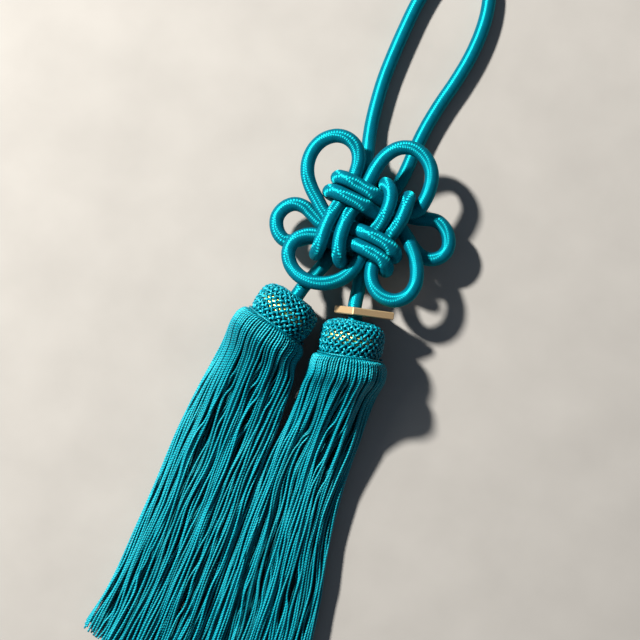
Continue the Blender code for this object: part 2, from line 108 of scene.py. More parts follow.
# A colour Mix node's own sockets: its two colours and its result.
MIX_FIRST, MIX_SECOND, MIX_RESULT = 6, 7, 2


def add_node(tree, kind, settings=None, inputs=None):
    """Adds a node, sets its properties, and gives each input a value or a link from another socket,
    a node standing for its own first output."""
    made = tree.nodes.new(kind)
    for key, value in (settings or {}).items():
        setattr(made, key, value)
    for key, value in (inputs or {}).items():
        if isinstance(value, bpy.types.Node):
            value = value.outputs[0]
        if isinstance(value, bpy.types.NodeSocket):
            tree.links.new(value, made.inputs[key])
        else:
            made.inputs[key].default_value = value
    return made


def new_material(name):
    """An empty node material and its tree."""
    material = bpy.data.materials.new(name)
    material.use_nodes = True
    material.node_tree.nodes.clear()
    return material, material.node_tree


def add_surface(tree, inputs):
    """The Principled shader with its values and links, feeding the material's output."""
    shader = add_node(tree, "ShaderNodeBsdfPrincipled", {}, inputs)
    add_node(tree, "ShaderNodeOutputMaterial", {}, {"Surface": shader})


def add_mesh(name, points, faces, material, uv=None):
    """An object at the origin from points in metres, faces, and one UV row for each face corner."""
    data = bpy.data.meshes.new(name)
    data.from_pydata(points, [], faces)
    if uv is not None:
        data.uv_layers.new(name="along").data.foreach_set("uv", uv.astype(np.float32).ravel())
    data.shade_smooth()
    data.materials.append(material)
    made = bpy.data.objects.new(name, data)
    bpy.context.scene.collection.objects.link(made)
    return made


def matt_painted_table():
    """Matt paint on a table top: no gloss, and mottled by a few grey levels in 30 mm patches."""
    material, tree = new_material("matt_painted_table")
    mottle = add_node(tree, "ShaderNodeTexNoise", {},
                      {"Scale": 2 * TABLE_REACH / TABLE_MOTTLE, "Detail": 3.0})
    shade = add_node(tree, "ShaderNodeMix", {"data_type": "RGBA"},
                     {0: mottle, MIX_FIRST: linear("#7F7E7C"), MIX_SECOND: linear("#8D8C8A")})
    add_surface(tree, {"Base Color": shade.outputs[MIX_RESULT], "Roughness": 0.85})
    return material


corners = np.array([(-1, -1, 0), (1, -1, 0), (1, 1, 0), (-1, 1, 0)]) * TABLE_REACH
corners[:, 2] = -TABLE_DROP
table = add_mesh("table", corners, np.array([(0, 1, 2, 3)]), matt_painted_table())

# ---------------------------------------------------------------- the cord
# A cotton core closely braided over with satin rayon, so it shows fine slanting cells and a bright
# line along it. One length is folded and tied by hand, from one head round to the other.
CORD_RADIUS = 2.8
CORD_CLEARANCE = 0.6
LAYER = 2 * CORD_RADIUS + CORD_CLEARANCE
ORIGIN_EAST = -5.2
ORIGIN_NORTH = -84.45

# The cord's route from the left head to the right one: (east, north, layers up from the table).
# Strands A and C run across the knot and B and D up it, two of each, with a run at its back and a run
# in front joined by a fold. The ears are the loops that stand out round it.
LEFT_DROP = [(-15.25, -37.7, 1.96), (-14.7, -35.6, 1.79), (-13.2, -31.8, 1.37), (-11.3, -27.3, 0.75),
             (-9.7, -23.0, 0.4), (-8.4, -19.0, 0.1)]
B1_BACK = [(-6.7, -14.0, 0), (-5.0, -8.0, 0), (-3.2, 0.0, 0.05), (-1.4, 7.0, 0), (-0.3, 12.0, 0)]
B1_FOLD = [(0.7, 14.8, 0.15), (1.5, 17.0, 0.7), (2.5, 18.1, 1.6), (4.1, 17.5, 2.5)]
B1_FRONT = [(6.2, 15.2, 2.95), (7.4, 11.4, 3), (7.6, 6.4, 3), (6.9, 1.0, 2.5), (5.6, -4.3, 2),
            (4.5, -10.6, 2)]
SW_EAR = [(3.7, -16.5, 2.05), (2.3, -21.6, 2.15), (-0.8, -26.6, 2.4), (-6.0, -30.4, 2.65),
          (-12.0, -32.0, 2.75), (-18.0, -31.3, 2.6), (-23.0, -28.0, 2.4), (-25.6, -23.0, 2.4),
          (-24.8, -18.0, 2.3), (-21.5, -14.4, 2.15), (-17.6, -12.6, 2.03)]
C2_FRONT = [(-13.5, -12.1, 2), (-6.3, -11.2, 2), (-1.5, -10.5, 2.35), (4.6, -11.0, 2.95),
            (9.5, -11.6, 3), (12.5, -12.3, 3)]
C2_FOLD = [(15.2, -13.8, 2.75), (16.3, -15.8, 1.9), (16.0, -16.2, 1.1), (14.8, -15.2, 0.35)]
C2_BACK = [(12.3, -13.6, 0), (6.0, -12.8, 0.2), (0.0, -12.3, 0.95), (-6.2, -12.2, 1), (-12.8, -12.2, 1)]
LEFT_EAR = [(-17.0, -12.8, 1), (-21.0, -14.8, 1), (-25.0, -17.6, 1.1), (-29.0, -18.8, 1.2),
            (-33.2, -16.2, 1.2), (-35.4, -11.0, 1.2), (-34.0, -6.0, 1.2), (-30.5, -2.8, 1.2),
            (-26.0, -2.4, 1.15), (-21.5, -4.2, 1.05), (-17.0, -6.2, 1)]
C1_BACK = [(-12.6, -6.1, 1), (-5.0, -5.6, 1), (1.2, -5.3, 0.95), (6.0, -5.5, 0.25), (11.8, -6.0, 0)]
C1_FOLD = [(14.8, -7.0, 0.3), (16.8, -8.3, 1.1), (17.1, -8.2, 1.9), (15.9, -6.8, 2.75)]
C1_FRONT = [(12.8, -5.2, 3), (8.0, -4.0, 3), (4.0, -3.6, 2.95), (-1.0, -3.6, 2.4), (-6.5, -4.1, 2),
            (-13.5, -3.4, 2)]
NW_EAR = [(-17.2, -1.4, 2.02), (-21.0, 1.8, 2.05), (-25.5, 5.8, 2.1), (-29.0, 10.5, 2.2),
          (-30.7, 16.0, 2.25), (-30.2, 22.0, 2.3), (-27.5, 27.0, 2.35), (-23.0, 30.2, 2.4),
          (-18.0, 30.6, 2.4), (-13.5, 28.3, 2.3), (-11.0, 24.0, 2.2), (-10.4, 19.5, 2.08)]
D1_FRONT = [(-10.5, 14.4, 2), (-11.5, 6.8, 2), (-12.8, 1.3, 2.5), (-13.8, -3.6, 2.98), (-14.2, -9.0, 3),
            (-14.1, -13.8, 3)]
D1_FOLD = [(-14.1, -17.8, 2.7), (-14.3, -20.0, 1.5), (-14.3, -18.0, 0.35)]
D1_BACK = [(-13.8, -13.0, 0), (-13.1, -6.0, 0), (-12.5, 0.0, 0.5), (-11.9, 6.0, 1)]
LOOP_LEFT = [(-10.6, 12.0, 1), (-8.6, 17.5, 1), (-7.9, 22.5, 0.9), (-8.2, 28.5, 0.5), (-9.6, 35.0, 0.15),
             (-10.9, 42.0, 0), (-11.9, 51.0, 0), (-12.5, 62.0, 0), (-12.2, 73.6, 0), (-11.4, 85.5, 0),
             (-10.2, 97.4, 0), (-8.0, 108.0, 0), (-3.4, 119.0, 0)]
LOOP_RIGHT = [(4.6, 126.0, 0), (12.6, 121.8, 0), (17.2, 115.2, 0), (19.6, 107.0, 0), (20.5, 97.0, 0),
              (19.8, 85.1, 0), (17.5, 72.6, 0), (14.2, 59.7, 0), (11.9, 48.0, 0), (10.8, 38.0, 0),
              (10.3, 30.0, 0), (9.6, 24.0, 0), (8.3, 18.5, 0), (6.9, 12.5, 0)]
D2_BACK = [(5.4, 8.0, 0), (3.2, 0.0, 0.05), (1.2, -8.0, 0), (0.0, -12.5, 0)]
D2_FOLD = [(-0.6, -15.6, 0.15), (-1.2, -18.3, 0.7), (-2.0, -19.7, 1.6), (-3.2, -19.2, 2.5)]
D2_FRONT = [(-4.7, -16.4, 2.95), (-5.9, -12.5, 3), (-6.5, -8.5, 3), (-6.6, -4.0, 3), (-6.3, 1.2, 2.5),
            (-5.2, 6.4, 2), (-4.1, 13.0, 2)]
NE_EAR = [(-3.4, 18.6, 2.05), (-2.4, 24.0, 2.2), (-0.3, 29.5, 2.3), (3.5, 34.0, 2.4), (8.5, 36.0, 2.4),
          (13.5, 35.3, 2.4), (18.0, 32.3, 2.4), (21.0, 27.5, 2.4), (21.9, 22.0, 2.3), (21.6, 16.6, 2.2),
          (20.4, 12.0, 2.1)]
A1_FRONT = [(17.2, 9.1, 2.02), (13.0, 8.6, 2), (8.5, 9.0, 2), (4.0, 9.9, 2.4), (-0.5, 11.1, 2.95),
            (-5.5, 12.3, 3), (-11.5, 13.5, 3)]
A1_FOLD = [(-14.2, 13.7, 2.7), (-15.6, 13.6, 1.5), (-14.2, 13.3, 0.4)]
A1_BACK = [(-11.0, 12.9, 0), (-6.0, 12.3, 0.25), (-0.3, 11.6, 0.95), (7.0, 10.4, 1), (13.8, 8.6, 1)]
RIGHT_EAR = [(18.0, 8.7, 1), (22.0, 9.2, 1.1), (26.0, 10.4, 1.2), (30.0, 11.0, 1.25), (34.2, 9.2, 1.25),
             (37.3, 5.5, 1.25), (38.3, 1.0, 1.2), (36.6, -3.0, 1.2), (32.6, -5.5, 1.2), (28.0, -5.2, 1.1),
             (24.0, -2.9, 1), (20.0, 0.2, 1)]
A2_BACK = [(16.5, 2.0, 1), (13.2, 2.6, 1), (7.0, 3.7, 1), (-1.2, 5.0, 0.95), (-6.0, 5.6, 0.3),
           (-12.0, 6.1, 0)]
A2_FOLD = [(-15.0, 6.2, 0.35), (-16.5, 6.3, 1.5), (-15.2, 6.4, 2.7)]
A2_FRONT = [(-12.4, 6.2, 3), (-6.0, 5.5, 3), (-1.0, 4.9, 2.85), (2.5, 4.5, 2.4), (7.0, 4.2, 2),
            (13.5, 3.4, 2)]
SE_EAR = [(17.8, 0.9, 2.05), (22.0, -2.9, 2.2), (25.8, -7.3, 2.3), (28.7, -12.5, 2.4), (30.0, -18.0, 2.4),
          (28.7, -23.5, 2.4), (24.5, -27.3, 2.4), (19.5, -27.9, 2.4), (14.5, -25.8, 2.35),
          (11.2, -21.8, 2.2), (9.9, -17.2, 2.05)]
B2_FRONT = [(9.9, -11.8, 2), (11.1, -4.8, 2), (13.2, 0.1, 2.5), (14.6, 4.8, 3), (14.9, 9.4, 3)]
B2_FOLD = [(14.8, 12.4, 2.7), (14.6, 14.0, 1.5), (14.3, 12.4, 0.35)]
B2_BACK = [(14.0, 9.4, 0), (13.4, 3.6, 0), (12.6, -1.2, 0.5), (11.9, -6.0, 1), (10.6, -12.2, 1)]
RIGHT_DROP = [(8.6, -17.5, 1), (7.5, -22.0, 1), (8.0, -27.5, 1.15), (8.6, -32.5, 1.52), (9.4, -37.0, 1.86),
              (10.7, -39.5, 1.98)]

LEFT_HALF = (LEFT_DROP + B1_BACK + B1_FOLD + B1_FRONT + SW_EAR + C2_FRONT + C2_FOLD + C2_BACK + LEFT_EAR
             + C1_BACK + C1_FOLD + C1_FRONT + NW_EAR + D1_FRONT + D1_FOLD + D1_BACK)
RIGHT_HALF = (D2_BACK + D2_FOLD + D2_FRONT + NE_EAR + A1_FRONT + A1_FOLD + A1_BACK + RIGHT_EAR + A2_BACK
              + A2_FOLD + A2_FRONT + SE_EAR + B2_FRONT + B2_FOLD + B2_BACK + RIGHT_DROP)
HANGING_LOOP = LOOP_LEFT + LOOP_RIGHT

# The route as a smooth line: points between two rows, and the spacing at which it is then settled.
SPAN_POINTS = 24
ROUTE_STEP = 2.0

# The settling: its rounds, the last ones that aren't smoothed, how many points along the cord count as
# the same strand or are freed bit by bit at each end, and the share of a push and of a smoothing.
SETTLE_ROUNDS = 160
UNSMOOTHED_ROUNDS = 25
SAME_STRAND = 7
EASED_ENDS = 8.0
PUSH_SHARE = 0.5
SMOOTH_SHARE = 0.30


def lengths_along(lines):
    """Distances along one line of points, or along each of many, point by point."""
    steps = np.linalg.norm(np.diff(lines, axis=-2), axis=-1)
    return np.concatenate([np.zeros_like(steps[..., :1]), np.cumsum(steps, axis=-1)], axis=-1)


def between(u, start, end, first, last):
    """The straight way from `first`, where u is `start`, to `last`, where u is `end`."""
    return (end - u) / (end - start) * first + (u - start) / (end - start) * last


def smooth_route(rows, step):
    """Points every `step` along a centripetal Catmull-Rom spline through the rows, and the length at
    each row. Its knots are apart by the root of the rows' distance, and each point is three straight
    ways between rows, then two between those, then one."""
    points = np.array(rows, float)
    points[:, 2] = CORD_RADIUS + points[:, 2] * LAYER
    ends = np.vstack([2 * points[0] - points[1], points, 2 * points[-1] - points[-2]])
    t = np.concatenate([[0], np.cumsum(np.linalg.norm(np.diff(ends, axis=0), axis=1) ** 0.5)])
    fine, marks = [], []
    for i in range(1, len(ends) - 2):
        u = np.linspace(t[i], t[i + 1], SPAN_POINTS, endpoint=False)[:, None]
        a1 = between(u, t[i - 1], t[i], ends[i - 1], ends[i])
        a2 = between(u, t[i], t[i + 1], ends[i], ends[i + 1])
        a3 = between(u, t[i + 1], t[i + 2], ends[i + 1], ends[i + 2])
        b1 = between(u, t[i - 1], t[i + 1], a1, a2)
        b2 = between(u, t[i], t[i + 2], a2, a3)
        marks.append(SPAN_POINTS * (i - 1))
        fine.append(between(u, t[i], t[i + 1], b1, b2))
    marks.append(SPAN_POINTS * len(fine))
    fine = np.vstack([*fine, points[-1:]])
    along = lengths_along(fine)
    even = np.linspace(0, along[-1], int(along[-1] / step) + 1)
    return np.stack([np.interp(even, along, fine[:, k]) for k in range(3)], axis=1), along[marks]


def settle(route, apart):
    """The route with its strands pushed aside until none lies nearer than `apart` to another.

    Each round moves every two points that are too near, and that aren't close neighbours along
    the cord, away from each other. The moves are smoothed along the cord, but for the last rounds,
    so it keeps its curves, and both ends and the surface under the cord stay where they are.
    """
    moved = np.zeros_like(route)
    order = np.arange(len(route))
    neighbours = np.abs(order[:, None] - order[None]) < SAME_STRAND
    free = np.clip(np.minimum(order, order[::-1]) / EASED_ENDS - 0.5, 0, 1)[:, None]
    for i in range(SETTLE_ROUNDS):
        at = route + moved
        across = at[:, None] - at[None]
        distance = np.sqrt((across ** 2).sum(axis=2)) + 1e-9
        short = np.where(neighbours, 0, np.clip(apart - distance, 0, None))
        push = (short / distance)[:, :, None] * across
        moved += PUSH_SHARE * push.sum(axis=1) / np.maximum(1, (short > 0).sum(axis=1) / 2.0)[:, None]
        if i < SETTLE_ROUNDS - UNSMOOTHED_ROUNDS:
            moved[1:-1] += SMOOTH_SHARE * (moved[:-2] + moved[2:] - 2 * moved[1:-1])
        moved *= free
        moved[:, 2] = np.maximum(moved[:, 2], CORD_RADIUS - route[:, 2])
    return route + moved


def smooth_through(knots, values, at):
    """A cubic through values given at knots: between two knots it keeps both values and both slopes,
    each slope being the mean of its neighbours' in proportion to nearness."""
    gaps = np.diff(knots)
    shape = (-1,) + (1,) * (values.ndim - 1)
    slopes = np.diff(values, axis=0) / gaps.reshape(shape)
    share = (gaps[1:] / (gaps[1:] + gaps[:-1])).reshape(shape)
    inner = slopes[:-1] * share + slopes[1:] * (1 - share)
    tangents = np.concatenate([slopes[:1], inner, slopes[-1:]])
    i = np.clip(np.searchsorted(knots, at, side="right") - 1, 0, len(gaps) - 1)
    h = gaps[i].reshape(shape)
    u = ((at - knots[i]) / gaps[i]).reshape(shape)
    return ((1 + 2 * u) * (1 - u) ** 2 * values[i] + u * (1 - u) ** 2 * h * tangents[i]
            + u ** 2 * (3 - 2 * u) * values[i + 1] + u ** 2 * (u - 1) * h * tangents[i + 1])


def untwisted_frames(path):
    """Two normals at each point of a path that don't turn about it: one level and one upright, both
    turned back by the turn added up so far."""
    tangents = np.gradient(path, axis=0)
    tangents /= np.linalg.norm(tangents, axis=1)[:, None]
    level = np.stack([-tangents[:, 1], tangents[:, 0], 0 * tangents[:, 0]], axis=1)
    level /= np.maximum(1e-9, np.linalg.norm(level, axis=1))[:, None]
    other = np.cross(tangents, level)
    carried = level[:-1] - tangents[1:] * (tangents[1:] * level[:-1]).sum(axis=1)[:, None]
    turn = np.arctan2((carried * other[1:]).sum(axis=1), (carried * level[1:]).sum(axis=1))
    turn = np.concatenate([[0], np.cumsum(turn)])[:, None]
    first = np.cos(turn) * level + np.sin(turn) * other
    return first, np.cross(tangents, first)


def tube_faces(tubes, rings, sides):
    """Quads round each of `tubes` tubes of `rings` by `sides` points, then its two flat ends."""
    i = np.arange(rings - 1)[:, None] * sides
    j = np.arange(sides)[None]
    k = (j + 1) % sides
    around = np.stack([i + j, i + k, i + sides + k, i + sides + j], axis=2).reshape(-1, 4)
    fan = np.arange(1, sides - 2, 2)
    end = np.stack([0 * fan, fan, fan + 1, fan + 2], axis=1)
    one = np.concatenate([around, end[:, ::-1], end + (rings - 1) * sides])
    return (one[None] + (np.arange(tubes) * rings * sides)[:, None, None]).reshape(-1, 4)


def tube_uv(along, sides):
    """UV rows for tube_faces: U is the length along each tube, V the turn round it."""
    v = np.arange(sides) / sides
    near, far = slice(0, -1), slice(1, None)
    corners = [(near, 0), (near, 1 / sides), (far, 1 / sides), (far, 0)]
    around = np.stack([np.stack(np.broadcast_arrays(along[:, part, None], v + step), axis=-1)
                       for part, step in corners], axis=3)
    ends = np.zeros((len(along), (sides - 2) * 4, 2))
    return np.concatenate([around.reshape(len(along), -1, 2), ends], axis=1).reshape(-1, 2)


def to_part(points):
    """Knot millimetres to the part's metres."""
    return (points - np.array([ORIGIN_EAST, ORIGIN_NORTH, 0])) * MM


BRAID_PITCH = 1.0
BRAID_STRANDS = 30
BRAID_SLANT = 33 / 360
BRAID_RADIUS = 3.05
BRAID_PATCH = 1.25
RIDGE_HEIGHT = 0.015
CORD_SIDES = 14
RINGS_A_PITCH = 4


def braided_cord(name, path, along, material):
    """A round tube along the path, its radius rising and falling once a row of cells: radius + height *
    cosine of (length / pitch + twice the turn). Its underside is flat where it lies on the table."""
    first, second = untwisted_frames(path)
    turn = 2 * math.pi * np.arange(CORD_SIDES) / CORD_SIDES
    phase = 2 * math.pi * along[:, None] / BRAID_PITCH + 2 * turn[None]
    radius = (BRAID_RADIUS + RIDGE_HEIGHT * np.cos(phase))[:, :, None]
    points = path[:, None] + radius * (np.cos(turn)[None, :, None] * first[:, None]
                                       + np.sin(turn)[None, :, None] * second[:, None])
    points[:, :, 2] = np.maximum(points[:, :, 2], 0)
    return add_mesh(name, to_part(points.reshape(-1, 3)), tube_faces(1, len(path), CORD_SIDES), material,
                    tube_uv(along[None], CORD_SIDES))


def along_and_round(tree):
    """Two sockets from a tube's UV map: the length along it in millimetres, and the turn round it."""
    uv = add_node(tree, "ShaderNodeUVMap", {"uv_map": "along"})
    split = add_node(tree, "ShaderNodeSeparateXYZ", {}, {0: uv})
    return split.outputs[0], split.outputs[1]


def braided_satin_rayon():
    """Braided satin rayon. Two sets of strands slant round the cord, one left and one right, and pass
    over and under each other in cells 1 mm long: a strand is on top where the product of both sets'
    sines is positive. Each set shines along its own line, so the highlight is a single line across
    the light and two dotted lines along it. Its many bright threads need an index above rayon's 1.54.
    """
    material, tree = new_material("braided_satin_rayon")
    along, round_cord = along_and_round(tree)
    length_turn = add_node(tree, "ShaderNodeMath", {"operation": "MULTIPLY"},
                           {0: along, 1: math.pi / BRAID_PITCH})
    sets = []
    for way in (1, -1):
        slanted = add_node(tree, "ShaderNodeMath", {"operation": "MULTIPLY_ADD"},
                           {0: round_cord, 1: way * math.pi * BRAID_STRANDS, 2: length_turn})
        sets.append(add_node(tree, "ShaderNodeMath", {"operation": "SINE"}, {0: slanted}))
    cells = add_node(tree, "ShaderNodeMath", {"operation": "MULTIPLY"}, {0: sets[0], 1: sets[1]})
    on_top = add_node(tree, "ShaderNodeMath", {"operation": "GREATER_THAN"}, {0: cells, 1: 0.0})
    slant = add_node(tree, "ShaderNodeMath", {"operation": "MULTIPLY_ADD"},
                     {0: on_top, 1: 2 * BRAID_SLANT - 1, 2: 1 - BRAID_SLANT})
    lay = add_node(tree, "ShaderNodeTangent", {"direction_type": "UV_MAP", "uv_map": "along"})

    # The colour is painted darker towards the edges of each cell, as shade in the grooves between the
    # strands.
    proud = add_node(tree, "ShaderNodeMath", {"operation": "ABSOLUTE"}, {0: cells})
    tone = add_node(tree, "ShaderNodeMapRange", {}, {0: proud, "From Min": 0.0, "From Max": 0.6})
    groove_shaded_colour = add_node(tree, "ShaderNodeMix", {"data_type": "RGBA"},
                   {0: tone, MIX_FIRST: linear("#012836"), MIX_SECOND: linear("#03566C")})
    patch_at = add_node(tree, "ShaderNodeCombineXYZ", {}, {0: along, 1: round_cord})
    patch = add_node(tree, "ShaderNodeTexNoise", {},
                     {"Vector": patch_at, "Scale": 1 / BRAID_PATCH, "Detail": 2.0})
    value = add_node(tree, "ShaderNodeMapRange", {},
                     {0: patch, "From Min": 0.3, "From Max": 0.7, "To Min": 0.85, "To Max": 1.15})
    varied = add_node(tree, "ShaderNodeHueSaturation", {},
                      {"Color": groove_shaded_colour.outputs[MIX_RESULT], "Value": value})
    gloss = add_node(tree, "ShaderNodeMapRange", {},
                     {0: proud, "From Min": 0.08, "From Max": 0.4, "To Min": 0.08, "To Max": 1.0})
    bump = add_node(tree, "ShaderNodeBump", {}, {"Height": proud, "Distance": 0.06 * MM, "Strength": 0.2})
    add_surface(tree, {"Base Color": varied, "Roughness": 0.6, "IOR": 2.4, "Specular IOR Level": gloss,
                       "Specular Tint": linear("#1CE6F4"), "Anisotropic": 1.0,
                       "Anisotropic Rotation": slant, "Tangent": lay, "Normal": bump})
    return material


# Each head's middle, east and north, and how far it leans clockwise from north.
HEADS = {"left": (-18.0, -47.4, math.radians(16)), "right": (12.6, -48.9, math.radians(-11))}
AXIS_HEIGHT = 15.2
HEAD_HALF_LENGTH = 8.1
CORD_END_DEPTH = 3.0


def tassel_axes(side):
    """The middle of a head, and unit vectors across it, up from the table, and along to the knot."""
    east, north, lean = HEADS[side]
    return (np.array([east, north, AXIS_HEIGHT]), np.array([math.cos(lean), -math.sin(lean), 0]),
            np.array([0, 0, 1.0]), np.array([math.sin(lean), math.cos(lean), 0]))


# The settled route, with both ends carried on into the heads, and how far along it every point is.
even_route, row_marks = smooth_route(LEFT_HALF + HANGING_LOOP + RIGHT_HALF, ROUTE_STEP)
settled = settle(even_route, LAYER)
settled_at = np.linspace(0, row_marks[-1], len(settled))
inside = {side: tassel_axes(side)[0] + (HEAD_HALF_LENGTH - CORD_END_DEPTH) * tassel_axes(side)[3]
          for side in HEADS}
sunk = [np.linalg.norm(inside["left"] - settled[0]), np.linalg.norm(inside["right"] - settled[-1])]
settled = np.vstack([inside["left"], settled, inside["right"]])
settled_at = np.concatenate([[-sunk[0]], settled_at, [row_marks[-1] + sunk[1]]])

satin = braided_satin_rayon()
loop_start = row_marks[len(LEFT_HALF)]
loop_end = row_marks[len(LEFT_HALF) + len(HANGING_LOOP) - 1]
for name, start, end in (("knot_cord_left", settled_at[0], loop_start),
                         ("hanging_loop", loop_start, loop_end),
                         ("knot_cord_right", loop_end, settled_at[-1])):
    run = np.linspace(start, end, int((end - start) / (BRAID_PITCH / RINGS_A_PITCH)))
    path = smooth_through(settled_at, settled, run)
    piece = braided_cord(name + "_braided", path, run, satin)
    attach(piece, "root")
    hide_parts(name)

# ---------------------------------------------------------------- the heads
# A turned drum mould covered in dark teal yarn, with gold thread wound round its middle. Over it lies
# a net of twisted teal cord, two slanting sets that pass over and under each other in diamonds.
HEAD_RADIUS = 14.3
PROFILE_POINTS = 400
DRUM_BLUNTNESS = 0.72
TOP_FLAT = 3.2
BOTTOM_FLAT = 10.5
INSET_DOWN = 0.7

MOULD_INSET = 2.2
MOULD_OPENING = 0.3
MOULD_RINGS = 60
MOULD_SIDES = 72
MOULD_RIDGE = 0.5

# The net: threads in each of its two sets, their section, twist and rise, and where they run.
NET_THREADS = 27
NET_PLY = 0.56
NET_TWIST = 2.4
NET_SWELL = 0.24
NET_RISE = 0.5
NET_INSET = 1.15
NET_TOP = 2.6
NET_FOOT = 0.4
NET_STEP = 0.4
NET_TONES = (0.88, 1.12)
NET_SEED = 40
ANY_PHASE = 6.28
THREAD_SIDES = 6

# The gold thread: its turns, radius, and spacing as a share of that, then its twist and its round.
GOLD_TURNS = 4
GOLD_THREAD = 0.6
GOLD_UNDER_NET = 1.1
GOLD_SPACING = 2.1
GOLD_TWIST = 1.6
GOLD_SWELL = 0.2
GOLD_BULGE = 0.12
GOLD_LENGTH = 12.0
GOLD_STEP = 0.07

# The coil of net cord round the top hole. Both coils' turns lie this far apart.
COIL_SPACING = 0.9
COLLAR_TURNS = 3
COLLAR_RADIUS = 5.0
COLLAR_PLY = 0.5
COLLAR_DEPTH = 0.7
COLLAR_LENGTH = 6.0
COLLAR_STEP = 0.12


def drum_profile(inset):
    """(radius, height) down the drum from its top hole: two rounded quarters whose sine and cosine are
    raised to 0.72, each ending on a flat."""
    turn = np.linspace(math.pi / 2, -math.pi / 2, PROFILE_POINTS)
    flat = np.where(turn > 0, TOP_FLAT, BOTTOM_FLAT)
    radius = flat + (HEAD_RADIUS - inset - flat) * np.maximum(0, np.cos(turn)) ** DRUM_BLUNTNESS
    height = ((HEAD_HALF_LENGTH - inset * INSET_DOWN) * np.sign(turn)
              * np.abs(np.sin(turn)) ** DRUM_BLUNTNESS)
    return np.stack([radius, height], axis=1)


def on_drum(side, radius, turn, height):
    """Knot millimetres of points given round the head's axis: its middle + radius * (cosine of the
    turn across + sine of the turn up) + height along the axis."""
    middle, across, up, axis = tassel_axes(side)
    return (middle + (radius * np.cos(turn))[..., None] * across + (radius * np.sin(turn))[..., None] * up
            + np.asarray(height)[..., None] * axis)


def twisted(name, paths, along, side_way, ply, swell, twist, phase, sides, material, tone):
    """Two-ply yarns or cords, one for each path: the section's radius is ply * (1 + swell * cosine of
    twice the angle left after turning once in each `twist` of length)."""
    tangents = np.gradient(paths, axis=1)
    tangents /= np.linalg.norm(tangents, axis=2)[:, :, None]
    first = side_way - tangents * (tangents * side_way).sum(axis=2)[:, :, None]
    first /= np.linalg.norm(first, axis=2)[:, :, None]
    second = np.cross(tangents, first)
    turn = 2 * math.pi * np.arange(sides) / sides
    spin = turn - 2 * math.pi * along[:, :, None] / twist - phase[:, None, None]
    radius = ply * (1 + swell * np.cos(2 * spin))
    points = (paths[:, :, None] + (radius * np.cos(turn))[..., None] * first[:, :, None]
              + (radius * np.sin(turn))[..., None] * second[:, :, None])
    made = add_mesh(name, to_part(points.reshape(-1, 3)), tube_faces(len(paths), paths.shape[1], sides),
                    material, tube_uv(along + (phase * twist / (2 * math.pi))[:, None], sides))
    made.data.attributes.new("tone", "FLOAT", "POINT").data.foreach_set(
        "value", np.repeat(tone, paths.shape[1] * sides).astype(np.float32))
    return made


def coiled(name, side, turn, radius, height, length, ply, swell, twist, material, tone):
    """One twisted thread wound round a head's axis, `length` being its own length for each radian."""
    paths = on_drum(side, radius, turn, height)
    ways = np.broadcast_to(tassel_axes(side)[3], paths.shape)
    made = twisted(name, paths, turn * length, ways, ply, swell, twist, np.zeros(1), THREAD_SIDES, material,
                   np.full(1, tone))
    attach(made, "root")


def two_ply(name, twist, dark, light, roughness):
    """Two-ply yarn with a soft teal gloss: painted darker in the groove between its plies, as shade
    there, fine slanting fibres on each ply, and a little lighter or darker yarn by yarn."""
    material, tree = new_material(name)
    along, round_yarn = along_and_round(tree)
    back = add_node(tree, "ShaderNodeMath", {"operation": "MULTIPLY"}, {0: along, 1: -4 * math.pi / twist})
    spin = add_node(tree, "ShaderNodeMath", {"operation": "MULTIPLY_ADD"},
                    {0: round_yarn, 1: 4 * math.pi, 2: back})
    lobe = add_node(tree, "ShaderNodeMath", {"operation": "COSINE"}, {0: spin})
    # The groove between the plies is painted darker, as the shade that falls there.
    depth = add_node(tree, "ShaderNodeMapRange", {}, {0: lobe, "From Min": -1.0, "From Max": 0.5})
    ply_groove_shaded = add_node(tree, "ShaderNodeMix", {"data_type": "RGBA"},
                     {0: depth, MIX_FIRST: linear(dark), MIX_SECOND: linear(light)})
    tone = add_node(tree, "ShaderNodeAttribute", {"attribute_name": "tone"})
    toned = add_node(tree, "ShaderNodeHueSaturation", {},
                     {"Color": ply_groove_shaded.outputs[MIX_RESULT], "Value": tone.outputs["Fac"]})
    fibre_turn = add_node(tree, "ShaderNodeMath", {"operation": "MULTIPLY"}, {0: spin, 1: 3.0})
    fibre = add_node(tree, "ShaderNodeMath", {"operation": "SINE"}, {0: fibre_turn})
    bump = add_node(tree, "ShaderNodeBump", {}, {"Height": fibre, "Distance": 0.03 * MM, "Strength": 0.5})
    add_surface(tree, {"Base Color": toned, "Roughness": roughness, "Specular IOR Level": 0.85,
                       "Specular Tint": linear("#5CE4E8"), "Normal": bump})
    return material


def yarn_covered_mould():
    """Dark teal yarn laid level round the mould, in fine matt ridges 0.5 mm apart. Its colour is painted
    darker than the yarn's own teal, as shade in the net's holes, and darker between the ridges, as
    shade in their grooves.
    """
    material, tree = new_material("yarn_covered_mould")
    down = along_and_round(tree)[0]
    wave = add_node(tree, "ShaderNodeMath", {"operation": "MULTIPLY"},
                    {0: down, 1: 2 * math.pi / MOULD_RIDGE})
    ridge = add_node(tree, "ShaderNodeMath", {"operation": "COSINE"}, {0: wave})
    tone = add_node(tree, "ShaderNodeMapRange", {}, {0: ridge, "From Min": -1.0, "From Max": 1.0})
    # Painted shade: darker than the yarn's own teal, and darker still in the grooves between the ridges.
    colour = add_node(tree, "ShaderNodeMix", {"data_type": "RGBA"},
                      {0: tone, MIX_FIRST: linear("#011D24"), MIX_SECOND: linear("#02343E")})
    bump = add_node(tree, "ShaderNodeBump", {}, {"Height": ridge, "Distance": 0.1 * MM, "Strength": 0.7})
    add_surface(tree, {"Base Color": colour.outputs[MIX_RESULT], "Roughness": 0.6, "Normal": bump})
    return material


